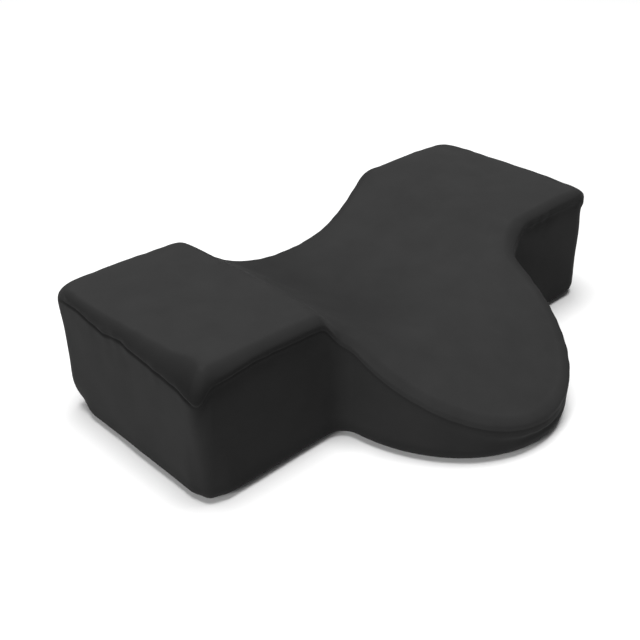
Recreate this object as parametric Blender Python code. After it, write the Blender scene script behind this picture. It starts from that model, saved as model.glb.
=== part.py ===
"""Eyelash extension pillow: a T-shaped filled pillow in a sewn cover.

Two wings carry the technician's forearms, a trough between them holds the neck,
and a sloping tongue in front holds the head. The form is one filled solid. Its
skin has a top panel, an upright band and a bottom panel, which meet in two seams.

Metres, +Z up. The origin is at the middle of the footprint, on the resting plane.
X runs along the wings, and the tongue points towards -Y.
"""

import math

import bmesh
import bpy
from mathutils import Vector
from mathutils.geometry import delaunay_2d_cdt

# Overall size
WIDTH = 0.500
WING_DEPTH = 0.198
TONGUE_LENGTH = 0.126
HEIGHT = 0.118

# Plan shape
TONGUE_HALF_WIDTH = 0.109
ROOT_FILLET = 0.014
FRONT_CORNER = 0.025
BACK_CORNER = 0.015
BACK_DRAW_IN = 0.009
SIDE_DRAW_IN = 0.0010

# Trough for the neck, and the slope of the tongue
NECK_HALF_WIDTH = 0.120
NECK_DEPTH = 0.048
NECK_POWER = 2.8
SLOPE_TOP = 0.094
SLOPE_TIP = 0.026
ROOT_LIFT = 0.030
ROOT_LIFT_START = 0.105
ROOT_LIFT_END = 0.135
CREASE_BLEND = 0.0015
SLOPE_BLEND = 0.0050
CROWN = 0.0012
CROWN_MIDDLE = 0.190
CROWN_REACH = 0.070

# Upright band, seams and the roll of the top panel over them
BASE_ROUND = 0.0120
BACK_BASE_ROUND = 0.0210
BACK_BASE_REACH = 0.060
BASE_TURNS = (18, 40, 65, 90)
BASE_SEAM_TURN = 18
BASE_SEAM_DEPTH = 0.0010
BAND_DRAW_IN = 0.0012
SEAM_DEPTH = 0.0018
SEAM_LIP_DEPTH = 0.0005
SEAM_HALF_WIDTH = 0.0016
SEAM_PUFF = 0.0008
PUFF_BELOW_SEAM = 0.0056
ROLL_ABOVE_SEAM = 0.0024
ROLL_WIDTH = 0.010
SEAM_DROP = 0.0080

# The roll at the two ends: distance back from the wings' front, how far the seam
# lies below the top's edge, and how wide the roll is
END_ROLL = (
    (0.000, 0.0180, 0.0170),
    (0.025, 0.0155, 0.0170),
    (0.055, 0.0140, 0.0140),
    (0.080, 0.0125, 0.0115),
    (0.100, 0.0100, 0.0090),
    (0.122, 0.0135, 0.0070),
    (0.140, 0.0105, 0.0070),
    (0.160, 0.0070, 0.0070),
    (0.178, 0.0070, 0.0090),
    (0.198, 0.0085, 0.0140),
)

# The sunken corner of the left wing, and the tuck at each outer front corner
CORNER_SAG = 0.0050
CORNER_SAG_REACH = 0.060
TUCK_DEPTH = 0.0018
TUCK_LENGTH = 0.030
TUCK_START = 0.006
TUCK_REACH = 0.015
TUCK_INSET = 0.0075

# Mesh spacing
EDGE_STEP = 0.0110
ARC_STEPS = 7
TONGUE_STEPS = 18
ROLL_STEPS = 4
BAND_STEPS = 4
TOP_COLUMNS_PER_NECK = 11
TOP_ROW_STEP = 0.0110
TOP_CLEARANCE = 0.0055
MERGE_DISTANCE = 1e-6
ON_EDGE = 0.001
SMOOTH_ANGLE = math.radians(50.0)

# Places that follow from the sizes
HALF_WIDTH = WIDTH / 2
FRONT_Y = (TONGUE_LENGTH - WING_DEPTH) / 2
BACK_Y = FRONT_Y + WING_DEPTH
TIP_Y = FRONT_Y - TONGUE_LENGTH

COVER_COLOR = (0.042, 0.045, 0.044, 1.0)
COVER_ROUGHNESS = 0.95
COVER_SHEEN = 0.3


def clear_scene():
    """Removes every object that the scene starts with."""
    for item in list(bpy.data.objects):
        bpy.data.objects.remove(item, do_unlink=True)


def soft_min(a, b, width):
    """The lower of two heights, blended over about the given width."""
    low = min(a, b)
    return low - width * math.log1p(math.exp(-abs(a - b) / width))


def ease(value, start, end):
    """0 before start, 1 after end, and a smooth step between."""
    t = min(max((value - start) / (end - start), 0.0), 1.0)
    return t * t * (3.0 - 2.0 * t)


def line_points(start, end, step):
    """Points from start up to, but without, end, no further apart than step."""
    count = max(1, math.ceil((end - start).length / step))
    return [start.lerp(end, k / count) for k in range(count)]


def arc_points(centre, radius, first, last, count):
    """Points on an arc between two angles in degrees, without the last one."""
    angles = [math.radians(first + (last - first) * k / count) for k in range(count)]
    return [centre + radius * Vector((math.cos(a), math.sin(a))) for a in angles]


def tongue_points():
    """The tongue's right side, a quarter ellipse from the tip to the root fillet, and its end."""
    root_y = -ROOT_FILLET
    last = math.asin(-root_y / TONGUE_LENGTH)
    angles = [math.pi / 2 + (last - math.pi / 2) * k / TONGUE_STEPS for k in range(TONGUE_STEPS + 1)]
    curve = [Vector((TONGUE_HALF_WIDTH * math.cos(a), FRONT_Y - TONGUE_LENGTH * math.sin(a))) for a in angles]
    return curve[:-1], curve[-1]


def right_outline():
    """The right half of the outline, from the tongue's tip round to the middle of the back."""
    curve, root = tongue_points()
    fillet_centre = Vector((root.x + ROOT_FILLET, root.y))
    front_start = Vector((fillet_centre.x, FRONT_Y))
    front_corner = Vector((HALF_WIDTH - FRONT_CORNER, FRONT_Y + FRONT_CORNER))
    back_corner = Vector((HALF_WIDTH - BACK_CORNER, BACK_Y - BACK_CORNER))
    crease = Vector((NECK_HALF_WIDTH, BACK_Y))
    points = curve
    points += arc_points(fillet_centre, ROOT_FILLET, 180, 90, ARC_STEPS)
    points += line_points(front_start, Vector((front_corner.x, FRONT_Y)), EDGE_STEP)
    points += arc_points(front_corner, FRONT_CORNER, -90, 0, ARC_STEPS)
    side_start = Vector((HALF_WIDTH, front_corner.y))
    points += line_points(side_start, Vector((HALF_WIDTH, back_corner.y)), EDGE_STEP)
    points += arc_points(back_corner, BACK_CORNER, 0, 90, ARC_STEPS)
    points += line_points(Vector((back_corner.x, BACK_Y)), crease, EDGE_STEP)
    points += line_points(crease, Vector((0.0, BACK_Y)), EDGE_STEP)
    points.append(Vector((0.0, BACK_Y)))
    return [drawn_in(point) for point in points]


def drawn_in(point):
    """Pulls the back edge and the two ends in a little between their corners."""
    x, y = point
    if y > BACK_Y - ON_EDGE:
        y -= BACK_DRAW_IN * (1.0 - ease(abs(x), 0.0, NECK_HALF_WIDTH))
    if abs(x) > HALF_WIDTH - ON_EDGE:
        across = (y - FRONT_Y - FRONT_CORNER) / (WING_DEPTH - FRONT_CORNER - BACK_CORNER)
        x -= math.copysign(SIDE_DRAW_IN * math.sin(math.pi * across), x)
    return Vector((x, y))


def outline():
    """The whole outline, counter-clockwise from the tongue's tip, with outward normals."""
    right = right_outline()
    left = [Vector((-point.x, point.y)) for point in reversed(right[1:-1])]
    points = right + left
    normals = []
    for k, point in enumerate(points):
        along = (points[(k + 1) % len(points)] - point).normalized() + (point - points[k - 1]).normalized()
        normals.append(Vector((along.y, -along.x)).normalized())
    return points, normals


def corner_sag(x, y):
    """How far the top has sunk near the outer front corner of the left wing."""
    along = ease(-x, HALF_WIDTH - CORNER_SAG_REACH, HALF_WIDTH)
    across = 1.0 - ease(y, FRONT_Y, FRONT_Y + 2.0 * CORNER_SAG_REACH)
    return CORNER_SAG * along * across


def top_height(x, y):
    """Height of the top panel: flat wings, the neck's trough and the sloping tongue."""
    over = abs(x) / NECK_HALF_WIDTH
    trough = HEIGHT - NECK_DEPTH * (1.0 - over ** NECK_POWER)
    crown = CROWN * (1.0 - ease(abs(abs(x) - CROWN_MIDDLE), 0.0, CROWN_REACH))
    height = soft_min(HEIGHT - CROWN + crown, trough, CREASE_BLEND)
    slope = SLOPE_TOP + (SLOPE_TOP - SLOPE_TIP) * (y - FRONT_Y) / TONGUE_LENGTH
    slope += ROOT_LIFT * ease(abs(x), ROOT_LIFT_START, ROOT_LIFT_END)
    return soft_min(height, slope, SLOPE_BLEND) - corner_sag(x, y)


def end_roll(back):
    """The seam's drop and the roll's width at one place along an end."""
    for (start, drop, width), (end, next_drop, next_width) in zip(END_ROLL, END_ROLL[1:]):
        if back <= end:
            break
    part = ease(back, start, end)
    return drop + (next_drop - drop) * part, width + (next_width - width) * part


def roll_sizes(point):
    """How far the upper seam lies below the top panel's edge, and the roll's width."""
    drop, width = end_roll(point.y - FRONT_Y)
    on_end = ease(abs(point.x), HALF_WIDTH - FRONT_CORNER, HALF_WIDTH)
    return SEAM_DROP + (drop - SEAM_DROP) * on_end, ROLL_WIDTH + (width - ROLL_WIDTH) * on_end


def corner_tuck(point):
    """The depth of the tuck that the band takes in at each outer front corner."""
    corner = Vector((HALF_WIDTH - TUCK_INSET, FRONT_Y + TUCK_INSET))
    distance = (Vector((abs(point.x), point.y)) - corner).length
    return TUCK_DEPTH * (1.0 - ease(distance, 0.0, TUCK_REACH))


def base_round(point):
    """Radius of the lower edge, which is rounder at the two outer back corners."""
    along = ease(abs(point.x), HALF_WIDTH - BACK_BASE_REACH, HALF_WIDTH)
    across = ease(point.y, BACK_Y - 1.2 * BACK_BASE_REACH, BACK_Y - 0.2 * BACK_BASE_REACH)
    return BASE_ROUND + (BACK_BASE_ROUND - BASE_ROUND) * along * across


def section(point, normal):
    """The edge from the base up to the top panel at one point of the outline."""
    drop, roll_width = roll_sizes(point)
    rim = point - normal * (roll_width + SEAM_PUFF)
    rim_height = top_height(rim.x, rim.y)
    seam = rim_height - drop
    tuck = corner_tuck(point)
    radius = base_round(point)
    rows = [(radius, 0.0)]
    for degrees in BASE_TURNS:
        turn = math.radians(degrees)
        seam_cut = BASE_SEAM_DEPTH if degrees == BASE_SEAM_TURN else 0.0
        rows.append((radius * (1.0 - math.sin(turn)) + seam_cut, radius * (1.0 - math.cos(turn)) + seam_cut))
    band_top = seam - PUFF_BELOW_SEAM
    for k in range(1, BAND_STEPS):
        part = k / BAND_STEPS
        inset = BAND_DRAW_IN * math.sin(math.pi * part)
        rows.append((inset, radius + (band_top - radius) * part))
    rows.append((-SEAM_PUFF, band_top))
    rows.append((SEAM_LIP_DEPTH, seam - SEAM_HALF_WIDTH))
    rows.append((SEAM_DEPTH, seam))
    rows.append((SEAM_LIP_DEPTH, seam + SEAM_HALF_WIDTH))
    roll_start = seam + ROLL_ABOVE_SEAM
    for k in range(ROLL_STEPS + 1):
        turn = math.pi / 2 * k / ROLL_STEPS
        inset = -SEAM_PUFF + (roll_width + SEAM_PUFF) * (1.0 - math.cos(turn))
        rows.append((inset, roll_start + (rim_height - roll_start) * math.sin(turn)))
    edge = []
    for inset, height in rows:
        below = 1.0 - ease(seam - height, TUCK_START, TUCK_LENGTH)
        above = 1.0 - ease(height - seam, 0.0, SEAM_DROP)
        place = point - normal * (inset + SEAM_PUFF + tuck * below * above)
        edge.append(Vector((place.x, place.y, height)))
    return edge


def fill_top(mesh, rim):
    """Fills the top panel inside its rim with a grid that follows the trough's creases."""
    rim_2d = [vert.co.xy for vert in rim]
    count = len(rim)
    column_step = NECK_HALF_WIDTH / TOP_COLUMNS_PER_NECK
    columns = math.floor(HALF_WIDTH / column_step)
    rows = math.floor((BACK_Y - TIP_Y) / TOP_ROW_STEP)
    inner = []
    for i in range(-columns, columns + 1):
        for j in range(rows + 1):
            spot = Vector((i * column_step, TIP_Y + j * TOP_ROW_STEP))
            if inside_by(spot, rim_2d, TOP_CLEARANCE):
                inner.append(spot)
    points = [Vector(p) for p in rim_2d] + inner
    edges = [(k, (k + 1) % count) for k in range(count)]
    flat = delaunay_2d_cdt(points, edges, [], 1, MERGE_DISTANCE)
    verts = list(rim)
    for spot in flat[0][count:]:
        verts.append(mesh.verts.new((spot.x, spot.y, top_height(spot.x, spot.y))))
    for face in flat[2]:
        mesh.faces.new([verts[index] for index in face])


def inside_by(spot, polygon, clearance):
    """Whether a point lies inside a closed outline, clear of its edge."""
    crossings = 0
    for k, end in enumerate(polygon):
        start = polygon[k - 1]
        if (start.y > spot.y) != (end.y > spot.y):
            x = start.x + (spot.y - start.y) * (end.x - start.x) / (end.y - start.y)
            crossings += x > spot.x
        along = end - start
        t = min(max((spot - start).dot(along) / along.length_squared, 0.0), 1.0)
        if (start + along * t - spot).length < clearance:
            return False
    return crossings % 2 == 1


def build_pillow():
    """The whole filled form as one closed mesh."""
    points, normals = outline()
    mesh = bmesh.new()
    edges = [[mesh.verts.new(co) for co in section(point, normal)] for point, normal in zip(points, normals)]
    for k, right in enumerate(edges):
        left = edges[k - 1]
        for low in range(len(right) - 1):
            mesh.faces.new((left[low], right[low], right[low + 1], left[low + 1]))
    mesh.faces.new([edge[0] for edge in reversed(edges)])
    fill_top(mesh, [edge[-1] for edge in edges])
    bmesh.ops.recalc_face_normals(mesh, faces=mesh.faces)
    data = bpy.data.meshes.new("pillow")
    mesh.to_mesh(data)
    mesh.free()
    data.shade_smooth()
    data.set_sharp_from_angle(angle=SMOOTH_ANGLE)
    pillow = bpy.data.objects.new("pillow", data)
    bpy.context.scene.collection.objects.link(pillow)
    return pillow


def velvet_cover():
    """The charcoal short-pile cover."""
    material = bpy.data.materials.new("short_pile_cover")
    material.use_nodes = True
    shader = material.node_tree.nodes["Principled BSDF"]
    shader.inputs["Base Color"].default_value = COVER_COLOR
    shader.inputs["Roughness"].default_value = COVER_ROUGHNESS
    shader.inputs["Metallic"].default_value = 0.0
    shader.inputs["Sheen Weight"].default_value = COVER_SHEEN
    return material


def main():
    clear_scene()
    pillow = build_pillow()
    pillow.data.materials.append(velvet_cover())


main()
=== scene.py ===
"""Looks of the eyelash extension pillow: its sewn velvet cover, and the studio around it.

The cover is a top panel, a boxing band and a bottom panel over one shaped foam
filling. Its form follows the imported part. The cloth then swells between its seams,
and the seams take in their gathers.
"""

import logging
import math
from dataclasses import dataclass, field
from enum import Enum
from typing import NamedTuple

import bmesh
import bpy
import numpy as np
from mathutils import Matrix, Vector, noise
from mathutils.geometry import delaunay_2d_cdt


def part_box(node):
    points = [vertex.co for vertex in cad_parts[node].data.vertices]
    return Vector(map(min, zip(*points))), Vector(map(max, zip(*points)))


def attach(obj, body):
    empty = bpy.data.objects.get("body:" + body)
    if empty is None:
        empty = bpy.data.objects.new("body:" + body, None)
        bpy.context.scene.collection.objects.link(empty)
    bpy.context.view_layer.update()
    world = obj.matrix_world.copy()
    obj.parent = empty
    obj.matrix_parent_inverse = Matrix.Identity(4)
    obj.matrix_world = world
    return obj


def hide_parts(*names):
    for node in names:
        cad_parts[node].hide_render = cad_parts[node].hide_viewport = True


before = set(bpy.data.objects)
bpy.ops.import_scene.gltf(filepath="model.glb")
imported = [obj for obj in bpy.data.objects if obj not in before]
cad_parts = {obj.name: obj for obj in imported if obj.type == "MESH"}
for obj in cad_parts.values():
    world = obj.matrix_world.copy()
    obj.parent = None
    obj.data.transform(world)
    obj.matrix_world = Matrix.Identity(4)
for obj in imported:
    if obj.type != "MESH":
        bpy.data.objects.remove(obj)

LOG = logging.getLogger("pillow")
MM = 0.001
# The mesh layer of painted shade: how much darker each point's velvet is drawn, on the rolls, in the seams,
# under the roll and by the left front corner.
PAINTED_SHADE_LAYER = "painted_shade_layer"
Array = np.ndarray


# Small helpers


def srgb(code: str) -> tuple[float, float, float, float]:
    """Turns an sRGB hex colour into linear RGBA.

    Args:
        code: The colour as six hex digits.

    Returns:
        Red, green, blue and alpha, linear.
    """
    parts = [int(code[k:k + 2], 16) / 255 for k in (0, 2, 4)]
    linear = [p / 12.92 if p <= 0.04045 else ((p + 0.055) / 1.055) ** 2.4 for p in parts]
    return (*linear, 1.0)


def ease(value: Array, start: float, end: float) -> Array:
    """A smooth step from 0 before start to 1 after end."""
    t = np.clip((np.asarray(value, float) - start) / (end - start), 0.0, 1.0)
    return t * t * (3.0 - 2.0 * t)


def soft_min(a: Array, b: Array, width: float) -> Array:
    """The lower of two heights, blended over about the given width."""
    return np.minimum(a, b) - width * np.log1p(np.exp(-np.abs(a - b) / width))


def add_node(tree: bpy.types.NodeTree, kind: str, settings: dict | None = None,
             inputs: dict | None = None) -> bpy.types.Node:
    """Adds one node with its settings, input values and links.

    Args:
        tree: The node tree that takes the node.
        kind: The node's type name.
        settings: Properties to set on the node.
        inputs: Input name or number to a value, or to the socket to link from.

    Returns:
        The new node.
    """
    node = tree.nodes.new(kind)
    for name, value in (settings or {}).items():
        setattr(node, name, value)
    for key, value in (inputs or {}).items():
        if isinstance(value, bpy.types.NodeSocket):
            tree.links.new(value, node.inputs[key])
        else:
            node.inputs[key].default_value = value
    return node


def noise_field(points: Array, size: float, seed: float, depth: int = 2) -> Array:
    """Smooth noise at each point, about -1 to 1.

    Args:
        points: Places, in metres.
        size: The width of one swell of the noise, in metres.
        seed: Shifts the pattern.
        depth: How many finer layers are added.

    Returns:
        One value for each point.
    """
    shift = Vector((seed, seed * 1.7, seed * 0.6))
    return np.array([noise.fractal(Vector(p) / size + shift, 1.0, 2.0, depth) for p in points])


# The cover's form


class Panel(Enum):
    """The pieces of cloth that the cover is sewn from, in the order of the material slots."""

    TOP = 0
    BAND = 1
    BASE = 2


class RollStation(NamedTuple):
    """The roll of the top panel at one place along an end of the pillow, in metres."""

    back: float
    drop: float
    width: float


class Ring(NamedTuple):
    """One ring of the cover round the pillow.

    The inset from the outline and the height are given at every outline point, and so is
    the painted shade: how much darker the velvet is drawn there. The panel is the one above
    the ring, and soft says how freely its cloth moves.
    """

    inset: Array
    height: Array
    panel: Panel
    soft: float
    painted_shade: Array


class ClothLie(NamedTuple):
    """How the cloth lies at each outline point.

    Front is 1 where a wing's wall faces the front. The next two fields are painted shade: how
    much darker the velvet is drawn on the roll, and on the wall under the roll's overhang. Cut
    scales the seam's depth, and puff is how far the wall swells out under the seam.
    """

    front: Array
    painted_shade: Array
    shaded: Array
    cut: Array
    puff: Array


class SeamLine(NamedTuple):
    """A seam as a closed line: its places and the length run so far."""

    places: Array
    run: Array


@dataclass
class PillowForm:
    """The filled form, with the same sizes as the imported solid, in metres."""

    half_width: float = 0.250
    height: float = 0.118
    wing_depth: float = 0.198
    tongue_length: float = 0.126
    tongue_half_width: float = 0.109
    root_fillet: float = 0.014
    left_front_corner: float = 0.012
    right_front_corner: float = 0.024
    back_corner: float = 0.015
    back_draw_in: float = 0.009
    side_draw_in: float = 0.001
    neck_half_width: float = 0.120
    neck_depth: float = 0.048
    neck_power: float = 2.8
    slope_top: float = 0.094
    slope_tip: float = 0.026
    root_lift: float = 0.030
    root_lift_start: float = 0.105
    root_lift_end: float = 0.135
    crease_blend: float = 0.0028
    slope_blend: float = 0.0050
    crown: float = 0.0012
    crown_middle: float = 0.190
    crown_reach: float = 0.070
    corner_sag: float = 0.0050
    corner_sag_reach: float = 0.060
    # Painted shade on the top panel by the left front corner.
    top_corner_shade: float = 0.32
    top_corner_shade_reach: float = 0.033
    base_round: float = 0.0120
    back_base_round: float = 0.0180
    back_base_reach: float = 0.035
    corner_spread: float = 0.0220
    spread_cut_off: float = 2.5
    corner_shoulder: float = 0.0120
    corner_shoulder_reach: float = 0.026
    shoulder_steepest: float = 0.97
    corner_core: float = 0.2
    back_foot: float = 0.0080
    back_foot_rise: float = 0.034
    left_front_foot: float = 0.0045
    left_front_foot_rise: float = 0.075
    left_front_foot_reach: float = 0.021
    foot_reach: float = 0.034
    band_draw_in: float = 0.0012
    seam_drop: float = 0.0080
    roll_width: float = 0.010
    front_roll_width: float = 0.013
    corner_roll_width: float = 0.0190
    corner_roll_reach: float = 0.036
    seam_puff: float = 0.0008
    end_rolls: tuple[RollStation, ...] = (
        RollStation(0.000, 0.0250, 0.0190),
        RollStation(0.012, 0.0200, 0.0200),
        RollStation(0.028, 0.0160, 0.0210),
        RollStation(0.055, 0.0140, 0.0150),
        RollStation(0.080, 0.0125, 0.0115),
        RollStation(0.100, 0.0100, 0.0090),
        RollStation(0.122, 0.0135, 0.0070),
        RollStation(0.140, 0.0105, 0.0070),
        RollStation(0.160, 0.0070, 0.0070),
        RollStation(0.178, 0.0070, 0.0090),
        RollStation(0.198, 0.0085, 0.0140),
    )

    @property
    def front_y(self) -> float:
        """Where the wings' front stands."""
        return (self.tongue_length - self.wing_depth) / 2

    @property
    def back_y(self) -> float:
        """Where the back stands."""
        return self.front_y + self.wing_depth

    def outline(self, step: float) -> tuple[Array, Array]:
        """The plan outline, counter-clockwise from the tongue's tip.

        The outward directions turn gradually past a sharp corner, so that rings further in
        than the corner's radius don't cross there. A step of one metre along a direction is
        one metre out from the outline.

        Args:
            step: The spacing of the points along the outline.

        Returns:
            The points and their outward directions.
        """
        right = self.half(self.right_front_corner)
        left = self.half(self.left_front_corner) * (-1.0, 1.0)
        closed = np.vstack([right, left[1:-1][::-1], right[:1]])
        run = np.r_[0.0, np.cumsum(np.linalg.norm(np.diff(closed, axis=0), axis=1))]
        count = 2 * round(run[-1] / step / 2)
        wanted = np.arange(count) * run[-1] / count
        points = np.stack([np.interp(wanted, run, closed[:, axis]) for axis in (0, 1)], axis=1)
        along = np.roll(points, -1, axis=0) - np.roll(points, 1, axis=0)
        outward = np.stack([along[:, 1], -along[:, 0]], axis=1)
        outward /= np.linalg.norm(outward, axis=1, keepdims=True)
        reach = round(self.spread_cut_off * self.corner_spread / step)
        offsets = np.arange(-reach, reach + 1)
        weights = np.exp(-0.5 * (offsets * step / self.corner_spread) ** 2)
        spread = sum(weight * np.roll(outward, offset, axis=0) for weight, offset in zip(weights, offsets))
        return points, spread / (spread * outward).sum(1, keepdims=True)

    def half(self, corner: float) -> Array:
        """Half of the outline, on the right, from the tongue's tip to the middle of the back.

        Args:
            corner: The radius of the outer front corner.

        Returns:
            The points.
        """
        front, back = self.front_y, self.back_y
        last = math.asin(self.root_fillet / self.tongue_length)
        turn = np.linspace(math.pi / 2, last, 160)
        tongue = np.stack([self.tongue_half_width * np.cos(turn),
                           front - self.tongue_length * np.sin(turn)], axis=1)
        fillet_x = tongue[-1, 0] + self.root_fillet
        lines = [
            tongue[:-1],
            self.arc(fillet_x, tongue[-1, 1], self.root_fillet, 180, 90),
            self.line((fillet_x, front), (self.half_width - corner, front)),
            self.arc(self.half_width - corner, front + corner, corner, -90, 0),
            self.line((self.half_width, front + corner), (self.half_width, back - self.back_corner)),
            self.arc(self.half_width - self.back_corner, back - self.back_corner, self.back_corner, 0, 90),
            self.line((self.half_width - self.back_corner, back), (0.0, back)),
            np.array([[0.0, back]]),
        ]
        x, y = np.vstack(lines).T
        on_back, on_end = y > back - MM, x > self.half_width - MM
        across = (y - front - corner) / (self.wing_depth - corner - self.back_corner)
        y = y - on_back * self.back_draw_in * (1.0 - ease(x, 0.0, self.neck_half_width))
        x = x - on_end * self.side_draw_in * np.sin(math.pi * np.clip(across, 0.0, 1.0))
        return np.stack([x, y], axis=1)

    @staticmethod
    def arc(x: float, y: float, radius: float, first: float, last: float, count: int = 40) -> Array:
        """Points on an arc between two angles in degrees, without the last one."""
        turn = np.radians(np.linspace(first, last, count, endpoint=False))
        return np.stack([x + radius * np.cos(turn), y + radius * np.sin(turn)], axis=1)

    @staticmethod
    def line(start: tuple[float, float], end: tuple[float, float], count: int = 160) -> Array:
        """Points on a straight line, without the last one."""
        part = np.linspace(0.0, 1.0, count, endpoint=False)[:, None]
        return np.array(start) + part * (np.array(end) - np.array(start))

    def top(self, x: Array, y: Array) -> Array:
        """Height of the top panel: flat wings, the neck's trough and the sloping tongue.

        Args:
            x: Places along the wings.
            y: Places across them.

        Returns:
            The height at each place.
        """
        trough = self.height - self.neck_depth * (1.0 - (np.abs(x) / self.neck_half_width) ** self.neck_power)
        crown = self.crown * (1.0 - ease(np.abs(np.abs(x) - self.crown_middle), 0.0, self.crown_reach))
        height = soft_min(self.height - self.crown + crown, trough, self.crease_blend)
        fall = (self.slope_top - self.slope_tip) / self.tongue_length
        slope = self.slope_top + fall * (y - self.front_y)
        slope = slope + self.root_lift * ease(np.abs(x), self.root_lift_start, self.root_lift_end)
        sag = ease(-x, self.half_width - self.corner_sag_reach, self.half_width)
        sag = sag * (1.0 - ease(y, self.front_y, self.front_y + 2.0 * self.corner_sag_reach))
        return soft_min(height, slope, self.slope_blend) - self.corner_sag * sag

    def roll(self, points: Array) -> tuple[Array, Array]:
        """The roll of the top panel at outline points.

        Args:
            points: The outline.

        Returns:
            How far the seam lies below the top's edge, and how wide the roll is.
        """
        table = np.array(self.end_rolls)
        back = np.clip(points[:, 1] - self.front_y, table[0, 0], table[-1, 0] - 1e-9)
        k = np.searchsorted(table[:, 0], back, side="right") - 1
        part = (back - table[k, 0]) / (table[k + 1, 0] - table[k, 0])
        part = (part * part * (3.0 - 2.0 * part))[:, None]
        sizes = table[k, 1:] * (1.0 - part) + table[k + 1, 1:] * part
        corner = np.where(points[:, 0] < 0.0, self.left_front_corner, self.right_front_corner)
        on_end = ease((np.abs(points[:, 0]) - self.half_width + corner) / corner, 0.0, 1.0)
        drop = self.seam_drop + (sizes[:, 0] - self.seam_drop) * on_end
        on_front = ease(np.abs(points[:, 0]), self.root_lift_start, self.root_lift_end)
        on_front = on_front * (1.0 - ease((points[:, 1] - self.front_y) / corner, 0.0, 1.0))
        near_left = np.exp(-((points[:, 0] + self.half_width) / self.corner_roll_reach) ** 2)
        front_width = self.front_roll_width + (self.corner_roll_width - self.front_roll_width) * near_left
        plain = self.roll_width + (front_width - self.roll_width) * on_front
        return drop, plain + (sizes[:, 1] - plain) * on_end

    def near_corner(self, points: Array, front: bool, reach: float) -> Array:
        """How near outline points are to the outer front or back corners.

        Args:
            points: The outline.
            front: Whether the front corners are meant, and not the back ones.
            reach: The distance from the corner at which the result has fallen to 0.

        Returns:
            From 0 to 1 at the corner.
        """
        left = self.left_front_corner if front else self.back_corner
        right = self.right_front_corner if front else self.back_corner
        cut = np.where(points[:, 0] < 0.0, left, right) * (1.0 - math.sqrt(0.5))
        y = self.front_y + cut if front else self.back_y - cut
        away = np.hypot(np.abs(points[:, 0]) - (self.half_width - cut), points[:, 1] - y)
        return 1.0 - ease(away, self.corner_core * reach, reach)

    def corner_inset(self, points: Array, height: Array, inset: Array) -> Array:
        """Rounds the outer corners off at the top, and draws them in towards the base.

        Args:
            points: The outline.
            height: The ring's height at each outline point.
            inset: The ring's inset before.

        Returns:
            The ring's inset.
        """
        at_front = self.near_corner(points, True, self.corner_shoulder_reach)
        at_back = self.near_corner(points, False, self.corner_shoulder_reach)
        sag = self.corner_sag * at_front * (points[:, 0] < 0.0)
        rise = (height - self.height + sag + self.corner_shoulder) / self.corner_shoulder
        rise = np.clip(rise, 0.0, self.shoulder_steepest)
        shoulder = self.corner_shoulder * (1.0 - np.sqrt(1.0 - rise ** 2)) * np.maximum(at_front, at_back)
        back_foot = self.back_foot * self.near_corner(points, False, self.foot_reach)
        front_foot = self.left_front_foot * self.near_corner(points, True, self.left_front_foot_reach)
        front_foot = front_foot * (points[:, 0] < 0.0)
        foot = back_foot * (1.0 - ease(height, 0.0, self.back_foot_rise))
        foot = foot + front_foot * (1.0 - ease(height, 0.0, self.left_front_foot_rise))
        return np.maximum(inset, shoulder) + foot

    def corner_shade_on_top(self, x: Array, y: Array) -> Array:
        """Painted shade on the top panel where it bends down to the left front corner: how much darker it is
        drawn.
        """
        away = np.hypot(x + self.half_width, y - self.front_y)
        return self.top_corner_shade * np.exp(-(away / self.top_corner_shade_reach) ** 2)

    def lower_radius(self, points: Array) -> Array:
        """Radius of the lower edge, which is rounder at the two outer back corners.

        Args:
            points: The outline.

        Returns:
            The radius at each outline point.
        """
        along = ease(np.abs(points[:, 0]), self.half_width - self.back_base_reach, self.half_width)
        across = ease(points[:, 1], self.back_y - 1.2 * self.back_base_reach,
                      self.back_y - 0.2 * self.back_base_reach)
        return self.base_round + (self.back_base_round - self.base_round) * along * across


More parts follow.
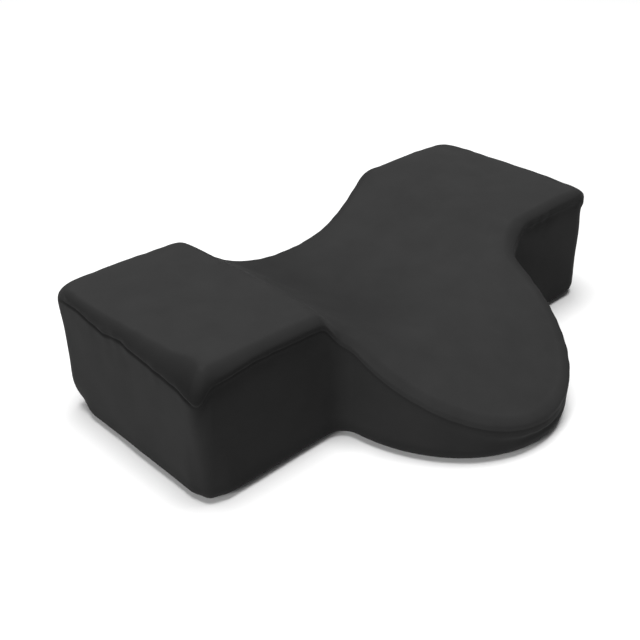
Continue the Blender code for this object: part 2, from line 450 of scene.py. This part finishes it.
@dataclass
class CoverMesh:
    """The cover as one closed mesh over the form, with its seams and the way its cloth lies."""

    form: PillowForm
    edge_step: float = 4.2 * MM
    grid_step: float = 4.8 * MM
    base_grid_step: float = 9.0 * MM
    seam_depth: float = 1.7 * MM
    seam_lip_depth: float = 0.5 * MM
    seam_half_width: float = 1.4 * MM
    puff_below_seam: float = 5.6 * MM
    roll_above_seam: float = 2.4 * MM
    front_overhang: float = 1.6 * MM
    front_recess: float = 2.4 * MM
    recess_reach: float = 17.0 * MM
    base_seam_turn: float = 14.0
    base_seam_depth: float = 0.8 * MM
    base_seam_spread: float = 5.0
    base_turns: tuple[float, ...] = (0.0, 5.0, 10.0, 14.0, 18.0, 24.0, 34.0, 46.0, 58.0, 74.0, 90.0)
    held_up_to_turn: float = 50.0
    band_soft: float = 0.4
    wing_edge: tuple[float, float] = (0.105, 0.145)
    facing: tuple[float, float] = (0.3, 0.8)
    facing_end: tuple[float, float] = (0.85, 0.98)
    # Painted shade: how much darker the velvet is drawn on the roll, the foot, the front walls under the roll
    # and by the left front corner.
    shade_least: float = 0.45
    shade_on_wing: float = 0.55
    shade_on_end: float = 0.2
    shade_on_foot: float = 0.3
    roll_shade_power: float = 0.6
    shade_on_front: float = 0.42
    shade_at_wedge: float = 0.35
    wedge_shade_reach: float = 30.0 * MM
    cut_least: float = 0.10
    cut_on_end: float = 0.50
    cut_on_front: float = 0.55
    back_cut_reach: float = 20.0 * MM
    band_rows: int = 9
    roll_rows: int = 7
    seam: SeamLine | None = None
    base_seam: SeamLine | None = None
    soft: list[float] = field(default_factory=list)

    def rows(self, points: Array, outward: Array) -> list[Ring]:
        """The rings of the cover from the base to the top panel's flat part.

        Args:
            points: The outline.
            outward: The outline's outward directions.

        Returns:
            The rings, from the bottom panel's edge to the top panel's flat part.
        """
        form = self.form
        drop, roll_width = form.roll(points)
        rim = points - outward * (roll_width + form.seam_puff)[:, None]
        rim_height = form.top(rim[:, 0], rim[:, 1])
        seam = rim_height - drop
        lie = self.lie(points, outward)
        rows = self.foot_rings(points)
        rows += self.band_rings(form.lower_radius(points), seam, lie)
        rows += self.seam_rings(seam, lie)
        rows += self.roll_rings(points, seam + self.roll_above_seam, rim_height, roll_width, lie)
        rows = [ring._replace(inset=form.corner_inset(points, ring.height, ring.inset)) for ring in rows]
        self.seam = self.line(points, outward, rows[-(self.roll_rows + 1) - 2])
        self.base_seam = self.line(points, outward, rows[self.base_turns.index(self.base_seam_turn)])
        return rows

    def lie(self, points: Array, outward: Array) -> ClothLie:
        """How the cloth lies at each outline point.

        Args:
            points: The outline.
            outward: The outline's outward directions.

        Returns:
            Where the wall faces, how much painted shade darkens the roll and the wall under it, and the
            seam's depth and puff.
        """
        form = self.form
        on_wing = ease(np.abs(points[:, 0]), *self.wing_edge)
        front = on_wing * ease(-outward[:, 1], *self.facing)
        end = on_wing * ease(np.abs(outward[:, 0]), *self.facing_end)
        # Painted shade on the roll, darker on the wings and most on their ends.
        painted_shade = self.shade_least + self.shade_on_wing * on_wing * (1.0 - ease(outward[:, 1], *self.facing))
        painted_shade = painted_shade + self.shade_on_end * end
        # Painted shade on the front walls under the roll's overhang, deepest in a dark wedge by the left
        # front corner.
        wedge_shade = np.exp(-((points[:, 0] + form.half_width) / self.wedge_shade_reach) ** 2)
        shaded = (self.shade_on_front + self.shade_at_wedge * wedge_shade) * front
        cut = self.cut_least + self.cut_on_end * end + self.cut_on_front * front * (points[:, 0] < 0.0)
        cut = cut * (1.0 - 0.5 * form.near_corner(points, False, self.back_cut_reach))
        puff = form.seam_puff * (1.0 - front) - self.front_recess * front
        return ClothLie(front, painted_shade, shaded, cut, puff)

    def foot_rings(self, points: Array) -> list[Ring]:
        """The rings round the lower edge, with the seam of the bottom panel.

        Args:
            points: The outline.

        Returns:
            The rings, from the bottom panel's flat part to the band.
        """
        radius = self.form.lower_radius(points)
        # The rounded lower edge takes a fixed share of painted shade.
        painted_shade = np.full(len(points), self.shade_on_foot)
        rings = []
        for degrees in self.base_turns:
            turn = math.radians(degrees)
            away = abs(degrees - self.base_seam_turn)
            groove = self.base_seam_depth * max(0.0, 1.0 - away / self.base_seam_spread)
            panel = Panel.BASE if degrees < self.base_seam_turn else Panel.BAND
            rings.append(Ring(radius * (1.0 - math.sin(turn)) + groove * math.sin(turn),
                              radius * (1.0 - math.cos(turn)) + groove * math.cos(turn),
                              panel, 0.0 if degrees < self.held_up_to_turn else 0.5, painted_shade))
        return rings

    def band_rings(self, radius: Array, seam: Array, lie: ClothLie) -> list[Ring]:
        """The rings up the boxing band.

        Args:
            radius: The lower edge's radius, where the band starts.
            seam: The upper seam's height.
            lie: How the cloth lies.

        Returns:
            The rings, up to the band's puff under the seam.
        """
        band_top = seam - self.puff_below_seam
        rings = []
        for k in range(1, self.band_rows):
            part = k / self.band_rows
            height = radius + (band_top - radius) * part
            under = np.exp(-((seam - height) / self.recess_reach) ** 2)
            inset = self.form.band_draw_in * math.sin(math.pi * part) + self.front_recess * lie.front * under
            # Painted shade under the roll's overhang, fading down the wall.
            rings.append(Ring(inset, height, Panel.BAND, self.band_soft, lie.shaded * (0.2 + 0.8 * under)))
        rings.append(Ring(-lie.puff, band_top, Panel.BAND, self.band_soft, lie.shaded))
        return rings

    def seam_rings(self, seam: Array, lie: ClothLie) -> list[Ring]:
        """The rings of the upper seam: the band's lip, the groove and the roll's lip.

        Args:
            seam: The seam's height.
            lie: How the cloth lies.

        Returns:
            The rings.
        """
        half = self.seam_half_width
        lip = self.seam_lip_depth * lie.cut
        # The seam's rings carry the roll's painted shade, darkest in the groove.
        return [
            Ring(-0.6 * lie.puff, seam - 2.2 * half, Panel.BAND, self.band_soft,
                 0.15 * lie.painted_shade + lie.shaded),
            Ring(lip - 0.3 * lie.puff, seam - half, Panel.BAND, 0.0, 0.9 * lie.painted_shade),
            Ring(self.seam_depth * lie.cut, seam, Panel.TOP, 0.0, 1.1 * lie.painted_shade),
            Ring(lip, seam + half, Panel.TOP, 0.0, lie.painted_shade),
        ]

    def roll_rings(self, points: Array, start: Array, rim: Array, width: Array, lie: ClothLie) -> list[Ring]:
        """The rings over the top panel's roll.

        Args:
            points: The outline.
            start: The height at which the roll starts.
            rim: The height at which it ends.
            width: The roll's width.
            lie: How the cloth lies.

        Returns:
            The rings, up to the top panel's flat part.
        """
        form = self.form
        rings = []
        for k in range(self.roll_rows + 1):
            turn = math.pi / 2 * k / self.roll_rows
            inset = -form.seam_puff + (width + form.seam_puff) * (1.0 - math.cos(turn))
            inset = inset - self.front_overhang * lie.front * math.sin(2.0 * turn)
            # Painted shade fades from the seam up to the roll's rim, with the painted shade by the left front
            # corner added.
            roll_shade = lie.painted_shade * max(0.0, math.cos(turn)) ** self.roll_shade_power
            roll_shade = roll_shade + form.corner_shade_on_top(points[:, 0], points[:, 1])
            rings.append(Ring(inset, start + (rim - start) * math.sin(turn), Panel.TOP,
                              0.3 + 0.7 * k / self.roll_rows, roll_shade))
        return rings

    def line(self, points: Array, outward: Array, ring: Ring) -> SeamLine:
        """A ring of the cover as a closed seam line.

        Args:
            points: The outline.
            outward: The outline's outward directions.
            ring: The ring that the seam follows.

        Returns:
            The seam.
        """
        flat = points - outward * (ring.inset + self.form.seam_puff)[:, None]
        places = np.column_stack([flat, ring.height])
        steps = np.linalg.norm(np.roll(places, -1, axis=0) - places, axis=1)
        return SeamLine(places, np.r_[0.0, np.cumsum(steps)])

    def build(self) -> bpy.types.Object:
        """Builds the cover before its cloth swells.

        Returns:
            The cover's object, with a material index for each panel.
        """
        points, outward = self.form.outline(self.edge_step)
        rows = self.rows(points, outward)
        mesh = bmesh.new()
        # Painted shade: each point keeps how much darker its velvet is drawn.
        painted_shade = mesh.verts.layers.float.new(PAINTED_SHADE_LAYER)
        rings = []
        for ring in rows:
            flat = points - outward * (ring.inset + self.form.seam_puff)[:, None]
            verts = [mesh.verts.new((x, y, z)) for (x, y), z in zip(flat, ring.height)]
            for vert, value in zip(verts, ring.painted_shade):
                vert[painted_shade] = value
            rings.append(verts)
            self.soft += [ring.soft] * len(points)
        count = len(points)
        for low, high, row in zip(rings, rings[1:], rows):
            for k in range(count):
                after = (k + 1) % count
                mesh.faces.new((low[k], low[after], high[after], high[k])).material_index = row.panel.value
        self.fill(mesh, rings[-1], self.grid_step, Panel.TOP)
        self.fill(mesh, rings[0], self.base_grid_step, Panel.BASE)
        bmesh.ops.recalc_face_normals(mesh, faces=mesh.faces)
        data = bpy.data.meshes.new("velvet_cover")
        mesh.to_mesh(data)
        mesh.free()
        cover = bpy.data.objects.new("velvet_cover", data)
        bpy.context.scene.collection.objects.link(cover)
        return cover

    def fill(self, mesh: bmesh.types.BMesh, rim: list[bmesh.types.BMVert], step: float,
             panel: Panel) -> None:
        """Fills the inside of a ring with an even grid.

        Args:
            mesh: The mesh that takes the faces.
            rim: The ring's vertices.
            step: The grid's spacing.
            panel: The panel that is filled; the top one follows the form's heights.
        """
        line = np.array([vert.co.xy for vert in rim])
        low, high = line.min(0), line.max(0)
        columns = np.arange(-round(high[0] / step), round(high[0] / step) + 1) * step
        levels = np.arange(low[1] + step / 2, high[1], step)
        spots = np.array([(x, y) for x in columns for y in levels])
        spots = spots[self.inside(spots, line, 0.55 * step)]
        edges = [(k, (k + 1) % len(line)) for k in range(len(line))]
        flat = delaunay_2d_cdt([Vector(p) for p in line] + [Vector(p) for p in spots], edges, [], 1, 1e-7)
        verts = list(rim)
        inner = np.array([tuple(spot) for spot in flat[0][len(line):]])
        heights = self.form.top(inner[:, 0], inner[:, 1]) if panel is Panel.TOP else np.zeros(len(inner))
        inner_verts = [mesh.verts.new((x, y, z)) for (x, y), z in zip(inner, heights)]
        # The top panel takes the painted shade by the left front corner.
        if panel is Panel.TOP:
            layer = mesh.verts.layers.float[PAINTED_SHADE_LAYER]
            for vert, value in zip(inner_verts, self.form.corner_shade_on_top(inner[:, 0], inner[:, 1])):
                vert[layer] = value
        verts += inner_verts
        self.soft += [1.0 if panel is Panel.TOP else 0.0] * len(inner)
        faces = [mesh.faces.new([verts[k] for k in face]) for face in flat[2]]
        for face in faces:
            face.material_index = panel.value
        bmesh.ops.join_triangles(mesh, faces=faces, angle_face_threshold=0.7, angle_shape_threshold=0.7)

    @staticmethod
    def inside(spots: Array, line: Array, clearance: float) -> Array:
        """Which spots lie inside a closed line, clear of it.

        Args:
            spots: The places to test.
            line: The closed line's points.
            clearance: The least distance from the line.

        Returns:
            True for each spot that does.
        """
        after = np.roll(line, -1, axis=0)
        run = after - line
        result = np.zeros(len(spots), bool)
        for k, (x, y) in enumerate(spots):
            spans = (line[:, 1] > y) != (after[:, 1] > y)
            cross = line[spans, 0] + (y - line[spans, 1]) * run[spans, 0] / run[spans, 1]
            if (cross > x).sum() % 2 == 0:
                continue
            part = ((x - line[:, 0]) * run[:, 0] + (y - line[:, 1]) * run[:, 1]) / (run ** 2).sum(1)
            near = line + run * np.clip(part, 0.0, 1.0)[:, None]
            result[k] = np.hypot(near[:, 0] - x, near[:, 1] - y).min() > clearance
        return result


@dataclass
class ClothSwell:
    """The filling presses the cloth outwards between its seams, which hold it."""

    pressure: float = 1.0
    last_frame: int = 20
    most: float = 1.2 * MM
    shrink: float = -0.001
    even_steps: int = 6

    def apply(self, cover: bpy.types.Object, soft: list[float]) -> None:
        """Simulates the cloth and moves the cover's points by the capped result.

        Args:
            cover: The cover's object, whose mesh is changed.
            soft: For each point how freely it may move, from 0 at a seam to 1.
        """
        rest = self.points(cover.data)
        free = np.array(soft)
        held = cover.vertex_groups.new(name="held")
        for weight in np.unique(free):
            held.add(np.flatnonzero(free == weight).tolist(), 1.0 - float(weight) * 0.97, "REPLACE")
        modifier = cover.modifiers.new("cloth", "CLOTH")
        cloth = modifier.settings
        cloth.quality = 5
        cloth.mass = 0.25
        cloth.tension_stiffness = cloth.compression_stiffness = 20.0
        cloth.shear_stiffness = 8.0
        cloth.bending_stiffness = 0.6
        cloth.vertex_group_mass = "held"
        cloth.pin_stiffness = 1.0
        cloth.use_pressure = True
        cloth.uniform_pressure_force = self.pressure
        cloth.shrink_min = self.shrink
        cloth.effector_weights.gravity = 0.0
        modifier.collision_settings.use_collision = False
        modifier.point_cache.frame_start = 1
        modifier.point_cache.frame_end = self.last_frame
        scene = bpy.context.scene
        for step in range(1, self.last_frame + 1):
            scene.frame_set(step)
        moved = cover.evaluated_get(bpy.context.evaluated_depsgraph_get())
        shift = self.points(moved.data) - rest
        cover.modifiers.remove(modifier)
        cover.vertex_groups.remove(held)
        scene.frame_set(1)
        shift = self.averaged(cover.data, shift)
        length = np.linalg.norm(shift, axis=1, keepdims=True)
        LOG.info("cloth: moved up to %.2f mm, mean %.2f mm", length.max() / MM, length.mean() / MM)
        capped = shift * (self.most * np.tanh(length / self.most) / np.maximum(length, 1e-9))
        places = rest + capped * free[:, None]
        cover.data.vertices.foreach_set("co", places.ravel())

    def averaged(self, mesh: bpy.types.Mesh, shift: Array) -> Array:
        """Evens a movement out over neighbouring points, as the foam holds the cloth's fine creases flat.

        Args:
            mesh: The mesh, whose edges join the neighbours.
            shift: The movement of each point.

        Returns:
            The evened movement.
        """
        ends = np.zeros(2 * len(mesh.edges), int)
        mesh.edges.foreach_get("vertices", ends)
        first, second = ends.reshape(-1, 2).T
        share = 1.0 + np.bincount(ends, minlength=len(shift))[:, None]
        for _ in range(self.even_steps):
            total = shift.copy()
            np.add.at(total, first, shift[second])
            np.add.at(total, second, shift[first])
            shift = total / share
        return shift

    @staticmethod
    def points(mesh: bpy.types.Mesh) -> Array:
        """The places of a mesh's points.

        Args:
            mesh: The mesh.

        Returns:
            One row of x, y and z for each point.
        """
        places = np.zeros(len(mesh.vertices) * 3)
        mesh.vertices.foreach_get("co", places)
        return places.reshape(-1, 3)


@dataclass
class CoverDetail:
    """Gathers along the seams and the soft dents of foam under cloth, on the fine mesh."""

    form: PillowForm
    gather_size: float = 8.5 * MM
    gather_depth: float = 0.22 * MM
    gather_reach: float = 9.0 * MM
    dent_size: float = 55.0 * MM
    dent_depth: float = 0.8 * MM
    ripple_size: float = 17.0 * MM
    ripple_depth: float = 0.35 * MM
    ripple_reach: float = 19.8 * MM
    held_below: tuple[float, float] = (1.5 * MM, 12.0 * MM)
    base_gather_share: float = 0.6
    dent_share_at_seam: float = 0.3
    seam_seed: float = 1.0
    base_seam_seed: float = 7.0
    dent_seed: float = 3.1
    ripple_seed: float = 8.4

    def apply(self, cover: bpy.types.Object, seam: SeamLine, base_seam: SeamLine) -> None:
        """Moves the cover's fine points for its gathers and dents.

        Args:
            cover: The cover's object, whose mesh is changed.
            seam: The seam between the top panel and the band.
            base_seam: The seam between the band and the bottom panel.
        """
        mesh = cover.data
        places = ClothSwell.points(mesh)
        normals = np.zeros(len(mesh.vertices) * 3)
        mesh.vertices.foreach_get("normal", normals)
        normals = normals.reshape(-1, 3)
        free = ease(places[:, 2], *self.held_below)
        distance, run = self.nearest(places, seam)
        lift = self.gathers(distance, run, seam, self.seam_seed) * free
        distance_low, run_low = self.nearest(places, base_seam)
        low = self.gathers(distance_low, run_low, base_seam, self.base_seam_seed)
        lift = lift + self.base_gather_share * low * free
        far = ease(distance, 3.0 * MM, 25.0 * MM)
        share = self.dent_share_at_seam + (1.0 - self.dent_share_at_seam) * far
        lift = lift + self.dent_depth * noise_field(places, self.dent_size, self.dent_seed) * free * share
        ripple = np.exp(-(distance / self.ripple_reach) ** 2) * ease(distance, 1.0 * MM, 6.0 * MM)
        ripple = ripple * noise_field(places, self.ripple_size, self.ripple_seed)
        lift = lift + self.ripple_depth * ripple * free
        places = places + normals * lift[:, None]
        mesh.vertices.foreach_set("co", places.ravel())
        mesh.update()

    def gathers(self, distance: Array, run: Array, seam: SeamLine, seed: float) -> Array:
        """Puckers that cross a seam and fade away from it.

        Args:
            distance: Each point's distance from the seam.
            run: Where along the seam each point lies.
            seam: The seam.
            seed: Shifts the pattern.

        Returns:
            How far each point moves outwards.
        """
        total = float(seam.run[-1])
        knots = round(total / self.gather_size)
        source = np.random.default_rng(round(seed * 100))
        heights = source.uniform(-1.0, 1.0, knots)
        heights[1::2] -= heights.mean() + 0.6
        heights[::2] += 0.6
        turn = run / total * knots
        low = np.floor(turn).astype(int) % knots
        part = turn - np.floor(turn)
        part = part * part * (3.0 - 2.0 * part)
        wave = heights[low] * (1.0 - part) + heights[(low + 1) % knots] * part
        fade = np.exp(-(distance / self.gather_reach) ** 2)
        return self.gather_depth * wave * fade

    @staticmethod
    def nearest(places: Array, seam: SeamLine) -> tuple[Array, Array]:
        """Each place's distance from a seam, and how far along the seam that is.

        Args:
            places: The places.
            seam: The seam.

        Returns:
            The distances, and the lengths along the seam.
        """
        start = seam.places
        run = np.roll(start, -1, axis=0) - start
        square = (run ** 2).sum(1)
        distances, runs = [], []
        for chunk in np.array_split(places, max(1, len(places) // 4000)):
            offset = chunk[:, None, :] - start[None]
            part = np.clip((offset * run[None]).sum(2) / square, 0.0, 1.0)
            gap = np.linalg.norm(offset - run[None] * part[..., None], axis=2)
            k = gap.argmin(1)
            rows = np.arange(len(chunk))
            distances.append(gap[rows, k])
            runs.append(seam.run[k] + part[rows, k] * np.sqrt(square[k]))
        return np.concatenate(distances), np.concatenate(runs)


# Finishes


@dataclass(frozen=True)
class VelvetFinish:
    """Short-pile polyester velvet, knitted and sheared.

    The pile stands up, so it is dark where it is looked straight into and pale where it
    is seen from the side. A layer of painted shade darkens it towards a near-black colour
    on the rolls, in the seams and under the roll. Sheared tufts give it a fine grain, and
    handling lays patches of it over, which gives a soft mottle.
    """

    name: str
    dark: str = "2d2d2d"
    light: str = "323232"
    # The painted shade's near-black colour and its strength.
    shade_colour: str = "101010"
    painted_shade: float = 0.6
    mottle_mm: float = 28.0
    pile_mm: float = 0.9
    sheen: float = 0.06
    sheen_roughness: float = 0.4
    sheen_tint: str = "f4f4f4"
    bump_mm: float = 0.25

    def material(self) -> bpy.types.Material:
        """Builds the material's nodes.

        Returns:
            The material.
        """
        material = bpy.data.materials.new(self.name)
        material.use_nodes = True
        tree = material.node_tree
        shader = tree.nodes["Principled BSDF"]
        where = add_node(tree, "ShaderNodeTexCoord").outputs["Object"]
        mottle = add_node(tree, "ShaderNodeTexNoise", {"noise_dimensions": "3D"},
                          {"Vector": where, "Scale": 1000.0 / self.mottle_mm, "Detail": 3.0,
                           "Roughness": 0.55})
        pile = add_node(tree, "ShaderNodeTexNoise", {"noise_dimensions": "3D"},
                        {"Vector": where, "Scale": 1000.0 / self.pile_mm, "Detail": 2.0, "Roughness": 0.6})
        mixed = add_node(tree, "ShaderNodeMath", {"operation": "MULTIPLY_ADD"},
                         {0: pile.outputs["Fac"], 1: 0.35, 2: mottle.outputs["Fac"]})
        spread = add_node(tree, "ShaderNodeMapRange", None,
                          {"Value": mixed.outputs[0], "From Min": 0.30, "From Max": 1.05})
        nap = add_node(tree, "ShaderNodeMix", {"data_type": "RGBA"},
                       {0: spread.outputs[0], 6: srgb(self.dark), 7: srgb(self.light)})
        # Painted shade: the mesh's shade layer mixes the velvet towards a near-black colour.
        shade_map = add_node(tree, "ShaderNodeAttribute", {"attribute_name": PAINTED_SHADE_LAYER})
        painted_shade = add_node(tree, "ShaderNodeMath", {"operation": "MULTIPLY", "use_clamp": True},
                          {0: shade_map.outputs["Fac"], 1: self.painted_shade})
        colour = add_node(tree, "ShaderNodeMix", {"data_type": "RGBA"},
                          {0: painted_shade.outputs[0], 6: nap.outputs[2], 7: srgb(self.shade_colour)})
        bump = add_node(tree, "ShaderNodeBump", None,
                        {"Height": pile.outputs["Fac"], "Strength": 0.35, "Distance": self.bump_mm * MM})
        tree.links.new(colour.outputs[2], shader.inputs["Base Color"])
        tree.links.new(bump.outputs["Normal"], shader.inputs["Normal"])
        shader.inputs["Roughness"].default_value = 0.9
        shader.inputs["IOR"].default_value = 1.4
        shader.inputs["Specular IOR Level"].default_value = 0.05
        shader.inputs["Sheen Weight"].default_value = self.sheen
        shader.inputs["Sheen Roughness"].default_value = self.sheen_roughness
        shader.inputs["Sheen Tint"].default_value = srgb(self.sheen_tint)
        return material


@dataclass
class VelvetCover:
    """The sewn cover over the filling: the pillow's one visible piece."""

    form: PillowForm
    swell: ClothSwell = field(default_factory=ClothSwell)
    finishes: tuple[VelvetFinish, ...] = (
        VelvetFinish("sheared_velvet_top"),
        # The band's velvet is a darker copy of the top's: painted shade on the walls. The base takes the same
        # darker colours.
        VelvetFinish("sheared_velvet_band_shaded", dark="232323", light="272727"),
        VelvetFinish("sheared_velvet_base", dark="232323", light="272727"),
    )

    def build(self) -> bpy.types.Object:
        """Builds, swells, details and dresses the cover.

        Returns:
            The finished cover.
        """
        maker = CoverMesh(self.form)
        cover = maker.build()
        self.swell.apply(cover, maker.soft)
        smooth = cover.modifiers.new("smooth", "SUBSURF")
        smooth.levels = smooth.render_levels = 1
        fine = bpy.data.meshes.new_from_object(cover.evaluated_get(bpy.context.evaluated_depsgraph_get()))
        cover.modifiers.remove(smooth)
        cover.data = fine
        fine.name = "velvet_cover"
        CoverDetail(self.form).apply(cover, maker.seam, maker.base_seam)
        for finish in self.finishes:
            fine.materials.append(finish.material())
        fine.shade_smooth()
        return cover


# Studio


@dataclass
class Studio:
    """A pale floor, soft light and the camera of the photograph."""

    focal_px: float = 919.795
    azimuth: float = -43.598
    pitch: float = 30.252
    roll: float = -0.56
    aim_px: tuple[float, float] = (427.588, 381.771)
    depth: float = 0.830638
    frame_px: float = 640.0
    sensor_mm: float = 36.0
    softbox_distance: float = 5.2
    overhead_size: float = 2.8
    overhead_watts: float = 322.0
    left_size: float = 1.5
    left_watts: float = 168.0
    left_azimuth: float = 185.0
    left_elevation: float = 20.0
    light_aim_height: float = 0.05
    fill: float = 0.12
    floor_reach: float = 6.0

    def camera(self, aim: Vector) -> None:
        """Places the camera so that the aimed point shows at its pixel.

        Args:
            aim: The point on the floor at the middle of the wings' front.
        """
        azimuth, pitch, roll = (math.radians(v) for v in (self.azimuth, self.pitch, self.roll))
        forward = Vector((-math.sin(azimuth) * math.cos(pitch), math.cos(azimuth) * math.cos(pitch),
                          -math.sin(pitch)))
        level = Vector((math.cos(azimuth), math.sin(azimuth), 0.0))
        upright = level.cross(forward)
        right = level * math.cos(roll) + upright * math.sin(roll)
        up = upright * math.cos(roll) - level * math.sin(roll)
        across = (self.aim_px[0] - self.frame_px / 2) / self.focal_px
        down = (self.aim_px[1] - self.frame_px / 2) / self.focal_px
        centre = aim - self.depth * (forward + right * across - up * down)
        data = bpy.data.cameras.new("photo_camera")
        data.sensor_width = self.sensor_mm
        data.lens = self.focal_px / self.frame_px * self.sensor_mm
        camera = bpy.data.objects.new("photo_camera", data)
        turn = Matrix((right, up, -forward)).transposed().to_4x4()
        camera.matrix_world = Matrix.Translation(centre) @ turn
        bpy.context.scene.collection.objects.link(camera)
        bpy.context.scene.camera = camera

    def light(self, name: str, aim: Vector, azimuth: float, elevation: float, size: float,
              watts: float) -> None:
        """Adds one square soft light that looks at a point.

        Args:
            name: The light's name.
            aim: The point that it looks at.
            azimuth: Its direction round the pillow, in degrees from +X.
            elevation: Its height angle, in degrees.
            size: The side of its square, in metres.
            watts: Its power.
        """
        data = bpy.data.lights.new(name, "AREA")
        data.shape = "SQUARE"
        data.size = size
        data.energy = watts
        turn, rise = math.radians(azimuth), math.radians(elevation)
        place = aim + self.softbox_distance * Vector(
            (math.cos(turn) * math.cos(rise), math.sin(turn) * math.cos(rise), math.sin(rise)))
        lamp = bpy.data.objects.new(name, data)
        lamp.visible_camera = False
        facing = (aim - place).to_track_quat("-Z", "Y").to_matrix().to_4x4()
        lamp.matrix_world = Matrix.Translation(place) @ facing
        bpy.context.scene.collection.objects.link(lamp)

    def floor(self) -> bpy.types.Object:
        """Builds the pale floor.

        Its paper is matt and uncoated, so it has no gloss and takes only a soft shadow.

        Returns:
            The floor.
        """
        data = bpy.data.meshes.new("studio_floor")
        reach = self.floor_reach
        corners = [(-reach, -reach, 0.0), (reach, -reach, 0.0), (reach, reach, 0.0), (-reach, reach, 0.0)]
        data.from_pydata(corners, [], [(0, 1, 2, 3)])
        material = bpy.data.materials.new("matt_white_paper")
        material.use_nodes = True
        shader = material.node_tree.nodes["Principled BSDF"]
        shader.inputs["Base Color"].default_value = srgb("f4f4f4")
        shader.inputs["Roughness"].default_value = 0.9
        shader.inputs["Specular IOR Level"].default_value = 0.1
        data.materials.append(material)
        floor = bpy.data.objects.new("studio_floor", data)
        bpy.context.scene.collection.objects.link(floor)
        return floor

    def build(self, aim: Vector) -> bpy.types.Object:
        """Builds the whole studio.

        Args:
            aim: The point that the camera's pixel is given for.

        Returns:
            The floor.
        """
        self.camera(aim)
        middle = Vector((0.0, 0.0, self.light_aim_height))
        self.light("overhead_softbox", middle, 0.0, 90.0, self.overhead_size, self.overhead_watts)
        self.light("left_softbox", middle, self.left_azimuth, self.left_elevation, self.left_size,
                   self.left_watts)
        world = bpy.data.worlds.new("studio_white")
        world.use_nodes = True
        tree = world.node_tree
        seen = add_node(tree, "ShaderNodeLightPath").outputs["Is Camera Ray"]
        strength = add_node(tree, "ShaderNodeMapRange", None,
                            {"Value": seen, "To Min": self.fill, "To Max": 1.0})
        background = tree.nodes["Background"]
        background.inputs["Color"].default_value = (1.0, 1.0, 1.0, 1.0)
        tree.links.new(strength.outputs[0], background.inputs["Strength"])
        bpy.context.scene.world = world
        bpy.context.scene.view_settings.view_transform = "Standard"
        return self.floor()


def main() -> None:
    """Builds the cover and the studio, ties the cover to the frame and reports."""
    logging.basicConfig(level=logging.INFO, format="%(name)s: %(message)s")
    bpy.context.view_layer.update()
    low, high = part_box("pillow")
    form = PillowForm(half_width=(high.x - low.x) / 2, height=round(high.z, 4))
    cover = VelvetCover(form).build()
    LOG.info("velvet_cover: %d points, %d faces", len(cover.data.vertices), len(cover.data.polygons))
    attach(cover, "root")
    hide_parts("pillow")
    floor = Studio().build(Vector((0.0, form.front_y, 0.0)))
    LOG.info("studio_floor: laid")


if __name__ == "__main__":
    main()
